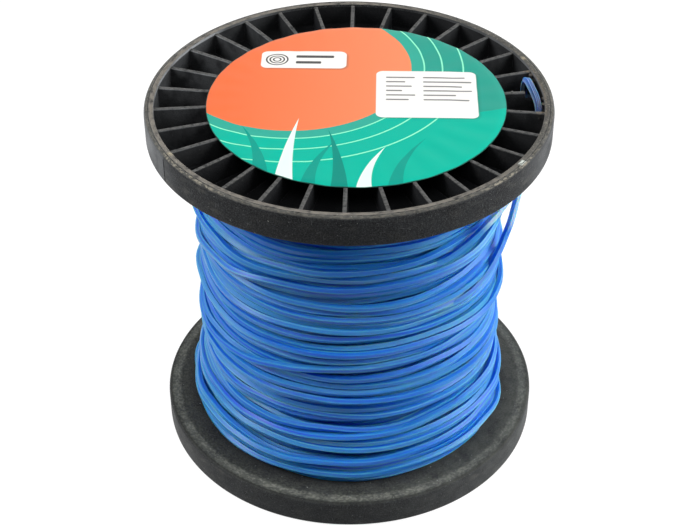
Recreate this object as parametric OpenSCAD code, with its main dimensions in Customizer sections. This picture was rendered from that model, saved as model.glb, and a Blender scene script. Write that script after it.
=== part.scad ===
// Spool of trimmer line: two ribbed flanges on a drum, the wound line and its round label.
// Millimetres. The spool stands on its lower flange: the origin is the centre of its base, +Z up.

/* [Flanges] */
// Outer diameter of both flanges
flange_d = 125; // [118:1:140]
// Height of a flange, from its open edge to its inner face
flange_h = 10; // [8:0.5:14]
// Thickness of the rim's wall
rim_wall = 3; // [2.6:0.1:4]
// Rounding of the rim's outer edges
rim_edge_r = 1.2; // [0.5:0.1:1.3]
// Thickness of the web that closes a flange on the winding's side
web_t = 2.4; // [1.6:0.1:3]
// Ribs from the hub ring to the rim
rib_count = 30; // [18:2:36]
// Thickness of a rib
rib_t = 1.6; // [1:0.1:2]
// How far the ribs stop short of the rim's open edge
rib_drop = 0.6; // [0.4:0.1:1.2]

/* [Drum] */
// Width of the winding, between the flanges
winding_w = 102; // [80:1:120]
// Outer diameter of the drum
drum_d = 62; // [50:1:66]
// Wall of the drum, and of the ring that carries it on the flanges
drum_wall = 2.4; // [2:0.1:3.5]
// Height of a flange's spigot inside the drum
spigot_h = 6; // [4:0.5:12]
// Radial clearance of the spigot in the drum
spigot_clear = 0.1; // [0.05:0.05:0.3]

/* [Spindle bore] */
// Diameter of the bore
bore_d = 16; // [12:0.5:22]
// Wall of the boss round the bore
boss_wall = 3; // [2:0.1:4]

/* [Label] */
// Diameter of the label
label_d = 91.5; // [80:0.5:96]
// Thickness of the label's film
label_t = 0.3; // [0.2:0.05:0.35]
// How far the label sits off centre to the right
label_right = 2.2; // [-3:0.1:3]
// How far the label sits off centre to the front
label_front = 1.2; // [-3:0.1:3]

/* [Line] */
// Diameter of the line across its points
line_d = 2.4; // [1.6:0.1:2.8]
// Diameter of the winding over its first layer, above the middle
winding_d = 99; // [92:0.5:102]
// How much the winding's radius grows towards the lower flange
swell = 3.5; // [0:0.1:4]
// Free space between neighbouring layers of line
layer_gap = 0.5; // [0.45:0.05:0.8]

/* [Line holes] */
// Diameter of the two holes melted through the upper web for the line's end
hole_d = 4.6; // [4.2:0.1:5]
// Wall left between a line hole and the rim or the next rib
hole_wall = 0.3; // [0.2:0.1:0.5]
// Depth of the notch in the rib that the line's end crosses
notch_depth = 2.6; // [2:0.1:3.5]

/* [Hidden] */

round_fn = 180;
spool_h = winding_w + 2 * flange_h;
lower_face = flange_h;
upper_face = flange_h + winding_w;
rim_r = flange_d / 2;
rim_in_r = rim_r - rim_wall;
boss_r = bore_d / 2 + boss_wall;
rib_pitch = 360 / rib_count;
first_rib = 90;
rib_top = spool_h - rib_drop;

// The spigot fills the drum's ends, and the hub ring over it stands on the drum's wall.
drum_in_r = drum_d / 2 - drum_wall;
spigot_r = drum_in_r - spigot_clear;

// The line's end crosses one rib, from the cell on its left to the cell on its right.
crossed_rib = first_rib - round((first_rib - 6) / rib_pitch) * rib_pitch;
hole_ring_r = rim_in_r - hole_wall - hole_d / 2;
hole_turn = rib_pitch - asin((rib_t / 2 + hole_wall + hole_d / 2) / hole_ring_r);
notch_w = line_d + 3;
notch_z = rib_top - notch_depth;

// The line's inner end comes through the drum's wall at the back.
anchor_clear = 0.5;
anchor_a = 90;
anchor_z = lower_face + spigot_h + 6;
start_tail_turn = 45;

// Windings keep clear of what they lie on by the bulge of a straight side of a loop.
loop_rings = 24;
loop_sides = 6;
cord_sides = 8;
ring_step = 360 / loop_rings;
touch = 0.05;
bulk_clear = 0.1;

// First layer up from the lower flange, a half turn that climbs, then a crossing layer down.
first_turns = 21.5;
climb_turns = 0.5;
start_a = 90;
leave_a = -60;
cross_turns = 1 + (360 + leave_a - start_a) / 360;
hook_r = line_d;
leave_drop = 21.8;
z_first = lower_face + line_d + hook_r;
z_last = upper_face - line_d / 2 - layer_gap;
leave_z = upper_face - leave_drop;

// ---------------------------------------------------------------- functions

function polar(r, a, z) = [r * cos(a), r * sin(a), z];
function unit(v) = v / norm(v);
function ease(u) = (1 - cos(180 * u)) / 2;

// Radius of a loop's centre line in the first layer: level above the middle, swelling below it.
function below_middle(z) = max(0, (upper_face + lower_face) / 2 - z) / (winding_w / 2);
function first_r(z) = winding_d / 2 - line_d / 2 + swell * pow(below_middle(z), 2);
function cross_r(z) = first_r(z) + line_d + layer_gap;
function bulk_r(z) = first_r(z) * cos(ring_step / 2) - line_d / 2 - touch;

// One point of the layers, where turn counts the loops from the first one's start.
function turn_z(turn) =
    turn < first_turns ? z_first + (z_last - z_first) * turn / first_turns
    : turn < first_turns + climb_turns ? z_last
    : z_last + (leave_z - z_last) * ease((turn - first_turns - climb_turns) / cross_turns);
function turn_lift(turn) = ease(min(1, max(0, (turn - first_turns) / climb_turns)));
function turn_point(turn) =
    let (z = turn_z(turn), r = first_r(z) + (cross_r(z) - first_r(z)) * turn_lift(turn))
    polar(r, start_a + 360 * turn, z);

// A ring of points square to the path at its point i. Its first side faces away from the axis,
// or straight up on a level path.
function heading(path, i) = unit(path[min(i + 1, len(path) - 1)] - path[max(i - 1, 0)]);
function ring(path, i, r, sides, level) =
    let (
        along = heading(path, i),
        away = level ? [0, 0, 1] : [path[i].x, path[i].y, 0],
        side = unit(away - (away * along) * along),
        top = cross(along, side)
    )
    [for (k = [0:sides - 1]) path[i]
        + r * (cos(360 * (k + 0.5) / sides) * side + sin(360 * (k + 0.5) / sides) * top)];

// Least distance between two stretches of one path that lie at least half a loop apart.
function least_gap(path, d) =
    min([for (i = [0:len(path) - 2]) for (j = [i + loop_rings / 2:len(path) - 1])
        norm(path[i] - path[j])]) - d;

// ---------------------------------------------------------------- routes of the line

// Hook at the lower flange: straight up from its face, then round into the first loop.
hook_steps = 4;
hook_turn = 180 / PI / first_r(z_first);
hook_path = [
    polar(first_r(z_first), start_a - hook_r * hook_turn, lower_face),
    for (k = [0:hook_steps - 1])
        let (a = 90 * k / hook_steps)
        polar(first_r(z_first), start_a - hook_r * cos(a) * hook_turn,
              lower_face + line_d + hook_r * sin(a))
];

// The loops, and the straight last diameter that meets the line's end.
turn_steps = (first_turns + climb_turns + cross_turns) * loop_rings;
leave_point = polar(cross_r(leave_z), leave_a, leave_z);
leave_along = [-sin(leave_a), cos(leave_a), 0];
turns_path = [
    each hook_path,
    for (k = [0:turn_steps - 1]) turn_point(k / loop_rings),
    leave_point - line_d * leave_along,
    leave_point
];

// From the winding up through the left hole, over the notched rib, down the right hole and
// back along the winding. Each point is a radius, an angle and a height.
left_a = crossed_rib + hole_turn;
right_a = crossed_rib - hole_turn;
lie_clear = 0.35;
lie_r = winding_d / 2 + line_d / 2 + lie_clear;
over_clear = 0.3;
over_z = notch_z + line_d / 2 + over_clear;
rise_stops = [
    [cross_r(leave_z) + 0.3, -52, leave_z + 1.1],
    [cross_r(leave_z) + 0.7, -46, leave_z + 3.1],
    [cross_r(leave_z) + 1.3, -40, leave_z + 5.6],
    [cross_r(leave_z) + 2.0, -34, leave_z + 8.2],
    [cross_r(leave_z) + 2.6, -28, leave_z + 10.5],
    [cross_r(leave_z) + 3.1, -21, leave_z + 12.5],
    [cross_r(leave_z) + 3.6, -13, leave_z + 14.2],
    [cross_r(leave_z) + 4.1, -5, leave_z + 15.6],
    [hole_ring_r - 1.2, left_a - 12, upper_face - 5.1],
    [hole_ring_r - 0.7, left_a - 6.5, upper_face - 3.8],
    [hole_ring_r - 0.4, left_a - 2.6, upper_face - 2.8]
];
over_stops = [
    [hole_ring_r - 0.3, left_a - 0.7, upper_face - 0.1],
    [hole_ring_r - 0.3, left_a + 0.3, upper_face + 2.4],
    [hole_ring_r - 0.3, left_a + 0.4, upper_face + 5.0],
    [hole_ring_r - 0.3, left_a - 0.6, over_z - 1.4],
    [hole_ring_r - 0.3, left_a - 2.6, over_z - 0.3],
    [hole_ring_r - 0.2, left_a - 5.2, over_z],
    [hole_ring_r - 0.1, crossed_rib, over_z],
    [hole_ring_r, right_a + 5.2, over_z],
    [hole_ring_r, right_a + 2.6, over_z - 0.3],
    [hole_ring_r, right_a + 0.8, over_z - 1.5],
    [hole_ring_r, right_a + 0.1, upper_face + 5.0],
    [hole_ring_r, right_a, upper_face + 2.4],
    [hole_ring_r - 0.1, right_a - 0.2, upper_face - 0.2]
];
fall_stops = [
    [hole_ring_r - 0.5, right_a - 0.9, upper_face - 4],
    [hole_ring_r - 1.3, right_a - 2.2, upper_face - 8.5],
    [hole_ring_r - 2.4, right_a - 4.2, upper_face - 13],
    [lie_r + 2.2, right_a - 6.5, upper_face - 18],
    [lie_r + 1.4, right_a - 8.8, upper_face - 22.8],
    [lie_r + 0.8, right_a - 11, upper_face - 27],
    [lie_r + 0.3, right_a - 13.6, upper_face - 30.7],
    [lie_r + 0.1, right_a - 17, upper_face - 33.3],
    [lie_r, right_a - 20.6, upper_face - 35.4],
    [lie_r, right_a - 24.6, upper_face - 37.3],
    [lie_r, right_a - 29.6, upper_face - 39.1],
    [lie_r, right_a - 35.6, upper_face - 40.5],
    [lie_r, right_a - 42, upper_face - 41.4],
    [lie_r, right_a - 48.4, upper_face - 42],
    [lie_r, right_a - 54.8, upper_face - 42.4]
];
end_path = [
    leave_point,
    leave_point + line_d * leave_along,
    for (s = concat(rise_stops, over_stops, fall_stops)) polar(s[0], s[1], s[2])
];

// The line's inner end: along the inside of the drum's wall, then square out through its hole.
start_bend_r = 2 * line_d;
start_lie_r = drum_in_r - line_d / 2 - 0.3;
start_dip = start_lie_r - (drum_in_r - start_bend_r);
start_bend_turn = asin(start_bend_r / (drum_in_r - start_bend_r));
start_steps = 4;
start_path = [
    for (s = [0:start_steps])
        polar(start_lie_r - start_dip * s / start_steps,
              start_bend_turn + start_tail_turn * (1 - s / start_steps), anchor_z),
    for (k = [1:start_steps])
        let (a = 90 * k / start_steps)
        [drum_in_r - start_bend_r * cos(a), start_bend_r * (1 - sin(a)), anchor_z],
    [drum_d / 2 + bulk_clear - touch, 0, anchor_z]
];

// ---------------------------------------------------------------- shared shapes

// A tube of flat sides along a path, closed at both ends.
module tube(path, d, sides, level = false) {
    last = (len(path) - 1) * sides;
    walls = [for (i = [0:len(path) - 2]) for (k = [0:sides - 1])
        let (a = i * sides + k, b = i * sides + (k + 1) % sides)
        each [[a, a + sides, b], [b, a + sides, b + sides]]];
    first_cap = [for (k = [1:sides - 2]) [0, k, k + 1]];
    last_cap = [for (k = [1:sides - 2]) [last, last + k + 1, last + k]];
    polyhedron(
        points = [for (i = [0:len(path) - 1]) each ring(path, i, d / 2, sides, level)],
        faces = concat(walls, first_cap, last_cap)
    );
}

// Half section of a flange that stands on its open edge.
module flange_section() {
    edge = rim_edge_r;
    translate([rim_in_r, 0]) square([rim_wall - edge, flange_h]);
    translate([rim_in_r, edge]) square([rim_wall, flange_h - 2 * edge]);
    translate([rim_r - edge, edge]) circle(edge, $fn = 48);
    translate([rim_r - edge, flange_h - edge]) circle(edge, $fn = 48);
    translate([boss_r, flange_h - web_t]) square([rim_in_r - boss_r, web_t]);
    translate([bore_d / 2, rib_drop]) square([boss_wall, flange_h - rib_drop + spigot_h]);
    translate([drum_in_r, rib_drop]) square([drum_wall, flange_h - rib_drop]);
    translate([spigot_r - drum_wall, flange_h - web_t]) square([drum_wall, web_t + spigot_h]);
}

// Every second rib runs on past the hub ring to the boss.
module ribs() {
    overlap = 0.4;
    rib_h = flange_h - rib_drop - web_t + overlap;
    for (i = [0:rib_count - 1]) {
        inner = i % 2 == 0 ? boss_r - overlap : drum_in_r + overlap;
        rotate([0, 0, first_rib + i * rib_pitch])
            translate([inner, -rib_t / 2, rib_drop])
                cube([rim_in_r + overlap - inner, rib_t, rib_h]);
    }
}

module plain_flange() {
    rotate_extrude($fn = round_fn) flange_section();
    ribs();
}

// ---------------------------------------------------------------- the pieces

module lower_flange() color([0.14, 0.14, 0.145]) plain_flange();

// The upper flange is the same moulding turned over, with the two line holes and the notch.
module upper_flange() color([0.14, 0.14, 0.145]) difference() {
    translate([0, 0, spool_h]) mirror([0, 0, 1]) plain_flange();
    for (a = [left_a, right_a])
        rotate([0, 0, a]) translate([hole_ring_r, 0, upper_face - 1])
            cylinder(h = web_t + 2, d = hole_d, $fn = 48);
    rotate([0, 0, crossed_rib]) translate([hole_ring_r - notch_w / 2, -rib_t, notch_z])
        cube([notch_w, 2 * rib_t, notch_depth + 1]);
}

module drum() color([0.12, 0.12, 0.125]) difference() {
    translate([0, 0, lower_face]) cylinder(h = winding_w, d = drum_d, $fn = round_fn);
    translate([0, 0, lower_face - 1]) cylinder(h = winding_w + 2, r = drum_in_r, $fn = round_fn);
    rotate([0, 0, anchor_a]) translate([drum_in_r - 1, 0, anchor_z]) rotate([0, 90, 0])
        cylinder(h = drum_wall + 2, d = line_d + 2 * anchor_clear, $fn = 48);
}

module label() color([0.1, 0.72, 0.62])
    translate([label_right, -label_front, rib_top]) cylinder(h = label_t, d = label_d, $fn = round_fn);

module line_start() color([0.16, 0.38, 0.78])
    rotate([0, 0, anchor_a]) tube(start_path, line_d, cord_sides, level = true);

// The plain body of the wound line, under the loops that show.
module line_bulk() color([0.1, 0.27, 0.66]) {
    inner = drum_d / 2 + bulk_clear;
    low = lower_face + bulk_clear;
    high = upper_face - bulk_clear;
    steps = 16;
    rotate_extrude($fn = round_fn) polygon([
        [inner, low],
        for (k = [0:steps]) let (z = low + (high - low) * k / steps) [bulk_r(z), z],
        [inner, high]
    ]);
}

module line_turns() color([0.25, 0.5, 0.88]) {
    echo(least_gap_between_turns = least_gap(turns_path, line_d));
    tube(turns_path, line_d, loop_sides);
}

module line_end() color([0.3, 0.55, 0.9]) tube(end_path, line_d, cord_sides);

upper_flange();
lower_flange();
drum();
label();
line_start();
line_bulk();
line_turns();
line_end();
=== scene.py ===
# %% [markdown]
# # A spool of grass-trimmer line
#
# The object is a delivery spool: two ribbed flanges of recycled plastic on a
# tube, about 90 m of blue nylon line wound on the tube, and a round paper-thin
# label stuck over the ribs and the spindle bore. Its sizes, its holes and the
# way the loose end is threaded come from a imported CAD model, which is loaded
# first and serves as a fixed frame. This lesson then makes what a person sees:
# the moulded edges, every turn of the line, the printed film, and the light.

import math

import bpy
import numpy as np
from mathutils import Matrix, Vector


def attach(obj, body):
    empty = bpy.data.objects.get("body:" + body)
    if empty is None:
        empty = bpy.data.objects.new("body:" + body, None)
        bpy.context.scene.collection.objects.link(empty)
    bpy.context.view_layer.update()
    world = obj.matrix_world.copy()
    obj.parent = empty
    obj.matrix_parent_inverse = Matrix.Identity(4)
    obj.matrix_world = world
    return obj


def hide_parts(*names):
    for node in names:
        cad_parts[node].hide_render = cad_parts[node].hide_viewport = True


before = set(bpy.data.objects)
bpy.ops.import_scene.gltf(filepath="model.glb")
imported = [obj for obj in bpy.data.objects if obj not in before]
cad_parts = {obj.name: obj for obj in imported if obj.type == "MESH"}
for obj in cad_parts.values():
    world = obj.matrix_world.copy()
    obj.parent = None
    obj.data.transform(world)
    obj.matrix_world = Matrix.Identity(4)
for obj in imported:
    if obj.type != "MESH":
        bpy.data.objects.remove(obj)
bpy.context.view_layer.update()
bpy.ops.object.select_all(action="DESELECT")
print("CAD nodes:", sorted(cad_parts))

# %% [markdown]
# ## Sizes
#
# One block of named lengths keeps the scene in step with the CAD model. They
# are written in millimetres, because that is how a moulding is drawn, and are
# turned to metres by one factor. Angles are in degrees, seen from above,
# counter-clockwise from +X. The near side of the spool is at -90.

# %% The spool's own sizes
MM = 0.001
SPOOL_H, LOW_FACE, HIGH_FACE = 122.0, 10.0, 112.0
FLANGE_R, FLANGE_H, RIM_WALL, RIM_EDGE = 62.5, 10.0, 3.0, 1.2
RIM_IN = FLANGE_R - RIM_WALL
GROOVE = 0.3  # width and depth of the groove beside the rim's rounded edge
WEB_TOP = HIGH_FACE + 2.4
RIB_T, RIB_COUNT, RIB_TOP = 1.6, 30, 121.4
RIB_PITCH = 360 / RIB_COUNT
HUB_RING, BOSS = (28.6, 31.0), (8.0, 11.0)  # radii of the inner and the outer wall
SPIGOT, SPIGOT_H = (26.1, 28.5), 6.0
DRUM_R = 31.0
LABEL_R, LABEL_T, LABEL_AT = 45.75, 0.3, (2.2, -1.2)  # it lies on the rib tops
LINE_R = 1.2
HOLE_R, HOLE_AT, HOLE_ANGLES, CROSSED_RIB = 2.3, 56.9, (14.575, -2.575), 6.0
NOTCH_W, NOTCH_DEPTH, SAW_H = 5.4, 2.6, 3.6
PARTING_ANGLES = (-148.3, 24.7)  # where the two halves of the mould met
print("spool", 2 * FLANGE_R, "x", SPOOL_H, "mm")

# %% [markdown]
# ## The camera
#
# A product picture is taken with a longish lens from a little above, so that
# the print on top and the wound line both show. The camera is placed by its
# distance, its height angle and a small turn about the spool's axis, and not by
# dragging it, so that the view can be worked out again from a few numbers.

# %% Camera
LENS, DISTANCE, HEIGHT_ANGLE, TURN, ROLL = 80.86, 0.51686, 37.656, 1.25, -0.057  # mm, m, degrees
SHIFT_RIGHT, SHIFT_UP = 0.00022, -0.00186  # m
AIM = Vector((0, 0, SPOOL_H / 2 * MM))


def placed(name, data):
    """A new object of the data, put in the scene."""
    thing = bpy.data.objects.new(name, data)
    bpy.context.scene.collection.objects.link(thing)
    return thing


angle = math.radians(HEIGHT_ANGLE)
back = Vector((0, -math.cos(angle), math.sin(angle)))
right = Vector((1, 0, 0))
up = back.cross(right)
turn = Matrix.Rotation(math.radians(TURN), 3, "Z")
axes = Matrix((right, up, back)).transposed()
camera_at = turn @ (AIM + DISTANCE * back + SHIFT_RIGHT * right + SHIFT_UP * up)
camera = placed("camera", bpy.data.cameras.new("camera"))
camera.data.lens = LENS
camera.data.sensor_width = 36
roll = Matrix.Rotation(math.radians(ROLL), 3, "Z")
camera.matrix_world = Matrix.Translation(camera_at) @ (turn @ axes @ roll).to_4x4()
bpy.context.scene.camera = camera
print("camera at", [round(v, 4) for v in camera_at])

# %% [markdown]
# ## Small helpers for materials
#
# Colours are written as the hex values a paint program shows and are turned to
# linear light by one function. One function adds a shader node to the tree at
# work, sets its properties and fills its inputs, so that a material reads as a
# short list from pattern to surface. The others combine masks, which are 1 where
# something shows and 0 elsewhere, and lay colours over each other with them.


# %% Colour and node helpers
def linear(code):
    """An sRGB hex colour as linear RGBA."""
    channels = [int(code[i : i + 2], 16) / 255 for i in (0, 2, 4)]
    return tuple(
        c / 12.92 if c <= 0.04045 else ((c + 0.055) / 1.055) ** 2.4 for c in channels
    ) + (1.0,)


def add(kind, inputs=(), stops=(), **settings):
    """Adds a node to the tree at work. inputs fill its sockets in their order, or by
    name or place where they are a dictionary. A node or a socket is linked, a hex code
    becomes a colour, and a number is set. stops are a ramp's places and colours."""
    node = tree.nodes.new("ShaderNode" + kind)
    for key, value in settings.items():
        setattr(node, key, value)
    if stops:
        marks = node.color_ramp.elements
        while len(marks) < len(stops):
            marks.new(0.5)
        for mark, (place, code) in zip(marks, stops):
            mark.position, mark.color = place, linear(code)
    for key, value in inputs.items() if isinstance(inputs, dict) else enumerate(inputs):
        if isinstance(value, bpy.types.Node):
            value = value.outputs[0]
        if isinstance(value, bpy.types.NodeSocket):
            tree.links.new(value, node.inputs[key])
        else:
            node.inputs[key].default_value = linear(value) if isinstance(value, str) else value
    return node


def times(*factors):
    """Masks or numbers multiplied together."""
    product = factors[0]
    for factor in factors[1:]:
        product = add("Math", [product, factor], operation="MULTIPLY")
    return product


def tinted(below, above, mask):
    """A colour with another laid over it where mask is 1."""
    return add("Mix", {0: mask, 6: below, 7: above}, data_type="RGBA").outputs[2]


def layered(colour, layers):
    """A colour with layers over it, the lowest first: each a colour and its masks."""
    for above, *masks in layers:
        colour = tinted(colour, above, times(*masks))
    return colour


def new_material(name):
    """An empty material, whose node tree becomes the tree at work."""
    global tree
    material = bpy.data.materials.new(name)
    material.use_nodes = True
    tree = material.node_tree
    tree.nodes.clear()
    return material


def dress(material, surface, *pieces):
    """Sends the surface to the material's output and puts the material on the pieces."""
    add("OutputMaterial", {"Surface": surface})
    for piece in pieces:
        piece.data.materials.clear()
        piece.data.materials.append(material)
    print(material.name, len(tree.nodes), "nodes")


print("white is", linear("ffffff"))

# %% [markdown]
# ## Floor, world and lamps
#
# A white sweep: the floor is a large pale sheet, and the world behind it is
# white to the eye and to reflections, while its light on the object stays a
# modest grey. Two tall soft boxes stand at the spool's left and right sides,
# which brightens the two flanks of the round winding and leaves its middle
# deeper in colour. A weak one behind to the right lights the far rim, and one
# above the front keeps the label bright.


# %% Floor
def seen_directly():
    """1 for the rays that show the background itself: from the camera, off a gloss or
    through something clear. It is 0 for the light that the background gives."""
    ray = add("LightPath").outputs
    seen = add("Math", [ray["Is Camera Ray"], ray["Is Glossy Ray"]], operation="MAXIMUM")
    return add("Math", [seen, ray["Is Transmission Ray"]], operation="MAXIMUM")


bpy.ops.mesh.primitive_plane_add(size=8, location=(0, 0, 0))
floor = bpy.context.object
floor.name = "floor"
bpy.ops.object.mode_set(mode="EDIT")
bpy.ops.mesh.subdivide(number_cuts=3)
bpy.ops.object.mode_set(mode="OBJECT")
paper = new_material("white background paper")
matte = add("BsdfDiffuse", {"Color": "8a8a8a"})
glow = add("Emission", {"Color": "ffffff", "Strength": times(seen_directly(), 0.86)})
dress(paper, add("AddShader", [matte, glow]), floor)
print("floor", [round(v, 2) for v in floor.dimensions])

# %% World
world = bpy.data.worlds.new("studio")
bpy.context.scene.world = world
world.use_nodes = True
tree = world.node_tree
tree.nodes.clear()
fill_light = add("Background", {"Color": "ffffff", "Strength": 0.045})
white_wall = add("Background", {"Color": "ffffff", "Strength": 1.0})
sky = add("MixShader", [seen_directly(), fill_light, white_wall])
add("OutputWorld", {"Surface": sky})
bpy.context.scene.view_settings.view_transform = "Standard"
print("world ready")

# %% Lamps
# name: angle from above, height angle, distance m, width m, height m, watts
SOFT_BOXES = {
    "soft box left": (-173, 35, 0.95, 0.45, 0.5, 7.6),
    "soft box right": (-9, 26, 0.95, 0.45, 0.75, 9.4),
    "soft box back right": (22, 20, 0.95, 0.4, 0.5, 3.0),
    "soft box overhead": (-90, 70, 1.1, 0.7, 0.7, 2.1),
}
for name, (around, height, distance, wide, tall, watts) in SOFT_BOXES.items():
    lamp = placed(name, bpy.data.lights.new(name, "AREA"))
    lamp.data.shape, lamp.data.size, lamp.data.size_y = "RECTANGLE", wide, tall
    lamp.data.energy = watts
    a, h = math.radians(around), math.radians(height)
    ray_out = Vector((math.cos(h) * math.cos(a), math.cos(h) * math.sin(a), math.sin(h)))
    lamp.matrix_world = (
        Matrix.Translation(AIM + distance * ray_out)
        @ ray_out.to_track_quat("Z", "Y").to_matrix().to_4x4()
    )
print("lamps", len(SOFT_BOXES))

# %% [markdown]
# ## The flange
#
# Each flange is one injection moulding: a rim, a thin web on the winding's side,
# thirty ribs that stiffen the web, a hub ring, a boss with the spindle bore and
# a short spigot for the tube. It could be spun from a profile, but a round
# blank that is inset, extruded and bevelled ring by ring keeps every wall on its
# own radius, which is also how the mould is cut, so that way was chosen.


# %% Helpers for making blocks and picking parts of a mesh
def metres(*lengths):
    return tuple(length * MM for length in lengths)


def polar(r, degrees):
    return r * math.cos(math.radians(degrees)), r * math.sin(math.radians(degrees))


def cylinder(vertices, r, depth, at):
    """A cylinder about a line along Z, with its centre at a place. Lengths are in mm."""
    bpy.ops.mesh.primitive_cylinder_add(
        vertices=vertices, radius=r * MM, depth=depth * MM, location=metres(*at))
    bpy.ops.object.transform_apply(location=True)
    return bpy.context.object


def block(size, at):
    """A box of a size, with its centre at a place. Lengths are in mm."""
    bpy.ops.mesh.primitive_cube_add(size=1, location=metres(*at), scale=metres(*size))
    bpy.ops.object.transform_apply(location=True, scale=True)
    return bpy.context.object


def spin(piece, degrees):
    """Turns the piece's mesh about the spool's axis."""
    piece.data.transform(Matrix.Rotation(math.radians(degrees), 4, "Z"))


def activate(piece):
    """Makes piece the one selected and active object."""
    bpy.ops.object.select_all(action="DESELECT")
    piece.select_set(True)
    bpy.context.view_layer.objects.active = piece


def pick(piece, kind, test=lambda p, n: True):
    """Selects the piece's vertices, edges or faces that pass test(place, normal), or
    test(end, other end) for edges. The piece is in edit mode after. Lengths are in mm."""
    mesh = piece.data
    groups = {"vertices": mesh.vertices, "edges": mesh.edges, "faces": mesh.polygons}
    bpy.context.tool_settings.mesh_select_mode = [kind == k for k in groups]
    for group in groups.values():
        group.foreach_set("select", [False] * len(group))
    for part in groups[kind]:
        if kind == "edges":
            part.select = test(*(mesh.vertices[i].co / MM for i in part.vertices))
        else:
            part.select = test((part.co if kind == "vertices" else part.center) / MM, part.normal)
    bpy.ops.object.mode_set(mode="EDIT")


def done():
    bpy.ops.object.mode_set(mode="OBJECT")


def rounded(piece, width, segments, test):
    """Rounds the piece's edges that pass the test. The width is in mm."""
    pick(piece, "edges", test)
    bpy.ops.mesh.bevel(offset=width * MM, segments=segments, affect="EDGES")
    done()


def remove(*pieces):
    for piece in pieces:
        bpy.data.objects.remove(piece, do_unlink=True)


def radius(p):
    return math.hypot(p[0], p[1])


def near(a, b, gap=0.02):
    return abs(a - b) < gap


print("helpers ready")

# %% [markdown]
# The blank is a cylinder of the flange's size, in place at the top of the spool.
# Its outer corners are rounded first. Then its top face is inset ring by ring
# towards the middle: a flat band, a fine groove that the mould leaves beside the
# rounded edge, the rim's inner wall, the web, the hub ring and the boss.


# %% The flange's blank, turned ring by ring
def inset(*radii):
    """Insets the picked round face from each radius to the next, mm."""
    for outer, inner in zip(radii, radii[1:]):
        bpy.ops.mesh.inset(thickness=(outer - inner) * MM)


def extrude(rise):
    """Extrudes the picked faces by a height, mm."""
    bpy.ops.mesh.extrude_region_move(TRANSFORM_OT_translate={"value": metres(0, 0, rise)})


flange = cylinder(240, FLANGE_R, FLANGE_H, (0, 0, HIGH_FACE + FLANGE_H / 2))
rounded(flange, RIM_EDGE, 5, lambda a, b: near(a.z, b.z) and radius(a) > 60)
pick(flange, "faces", lambda p, n: p.z > SPOOL_H - 0.1 and radius(p) < 1)
groove_out = FLANGE_R - RIM_EDGE
inset(groove_out, groove_out - GROOVE / 2, groove_out - GROOVE, RIM_IN)
extrude(WEB_TOP - SPOOL_H)
inset(RIM_IN, *HUB_RING[::-1], *BOSS[::-1])
done()
pick(flange, "faces", lambda p, n: p.z < HIGH_FACE + 0.1 and radius(p) < 1)
inset(FLANGE_R - RIM_EDGE, *SPIGOT[::-1], *BOSS[::-1])
done()
print("blank", len(flange.data.polygons), "faces")

# %% Groove, hub ring, boss, spigot and bore
pick(flange, "vertices", lambda p, n: near(p.z, SPOOL_H)
     and near(radius(p), groove_out - GROOVE / 2, 0.05))
bpy.ops.transform.translate(value=metres(0, 0, -GROOVE))
done()
for level, side, rings, rise in ((WEB_TOP, 1, (HUB_RING, BOSS), RIB_TOP - WEB_TOP),
                                 (HIGH_FACE, -1, (SPIGOT, BOSS), -SPIGOT_H)):
    for inner, outer in rings:
        pick(flange, "faces", lambda p, n: near(p.z, level)
             and inner < radius(p) < outer and side * n.z > 0.9)
        extrude(rise)
        done()
pick(flange, "faces", lambda p, n: radius(p) < 1)
bpy.ops.mesh.delete(type="FACE")
done()
pick(flange, "edges", lambda a, b: near(a.z, b.z)
     and near(radius(a), BOSS[0]) and near(radius(b), BOSS[0]))
bpy.ops.mesh.bridge_edge_loops()
done()
rounded(flange, 0.25, 2, lambda a, b: near(a.z, b.z) and near(radius(a), radius(b)) and (
    (near(radius(a), RIM_IN) and a.z > SPOOL_H - 1)
    or (near(a.z, RIB_TOP) and radius(a) < HUB_RING[1] + 0.1)
    or near(a.z, HIGH_FACE - SPIGOT_H)))
rounded(flange, 0.6, 3, lambda a, b: near(a.z, b.z) and near(a.z, WEB_TOP)
        and near(radius(a), RIM_IN) and near(radius(b), RIM_IN))
print("turned flange", len(flange.data.polygons), "faces")

# %% [markdown]
# ## Ribs
#
# A rib is a thin wall with a little draft, so that it leaves the mould, and with
# softened top edges. One is made for each of the two lengths and copied round
# the axis, each copy with its own mesh, as a mould maker cuts the same slot
# thirty times. The rib that the line's loose end crosses has a notch melted
# into it, which is cut before the ribs join the moulding.

# %% Make the ribs
SUNK = 0.4  # how far a rib's ends run into the walls that it joins
DRAFT = 0.74  # a rib's thickness at its top, as a share of that at its foot


def copied(piece):
    """A copy of the piece with a mesh of its own."""
    copy = piece.copy()
    copy.data = piece.data.copy()
    bpy.context.scene.collection.objects.link(copy)
    return copy


def rib(inner):
    """One rib along +X, from a wall's outer radius to the rim's inner wall."""
    start, low = inner - SUNK, WEB_TOP - 0.3
    length = RIM_IN + SUNK - start
    piece = block((length, RIB_T, RIB_TOP - low), (start + length / 2, 0, (low + RIB_TOP) / 2))
    pick(piece, "faces", lambda p, n: n.z > 0.9)
    bpy.ops.transform.resize(value=(1, DRAFT, 1))
    done()
    rounded(piece, 0.22, 2, lambda a, b: near(a.z, RIB_TOP) and near(b.z, RIB_TOP)
            and near(a.y, b.y))
    return piece


models = rib(BOSS[1]), rib(HUB_RING[0] + 2 * SUNK)  # long, short
ribs = [copied(models[i % 2]) for i in range(RIB_COUNT)]
for i, piece in enumerate(ribs):
    spin(piece, 90 + i * RIB_PITCH)
remove(*models)
print("ribs", len(ribs))


# %% Turn a copy over for the lower flange, before the upper one gets its holes
def joined(base, others):
    """Joins copies of others to a copy of base, as one mesh."""
    copies = [copied(piece) for piece in (base, *others)]
    activate(copies[0])
    for copy in copies:
        copy.select_set(True)
    bpy.ops.object.join()
    return bpy.context.object


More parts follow.
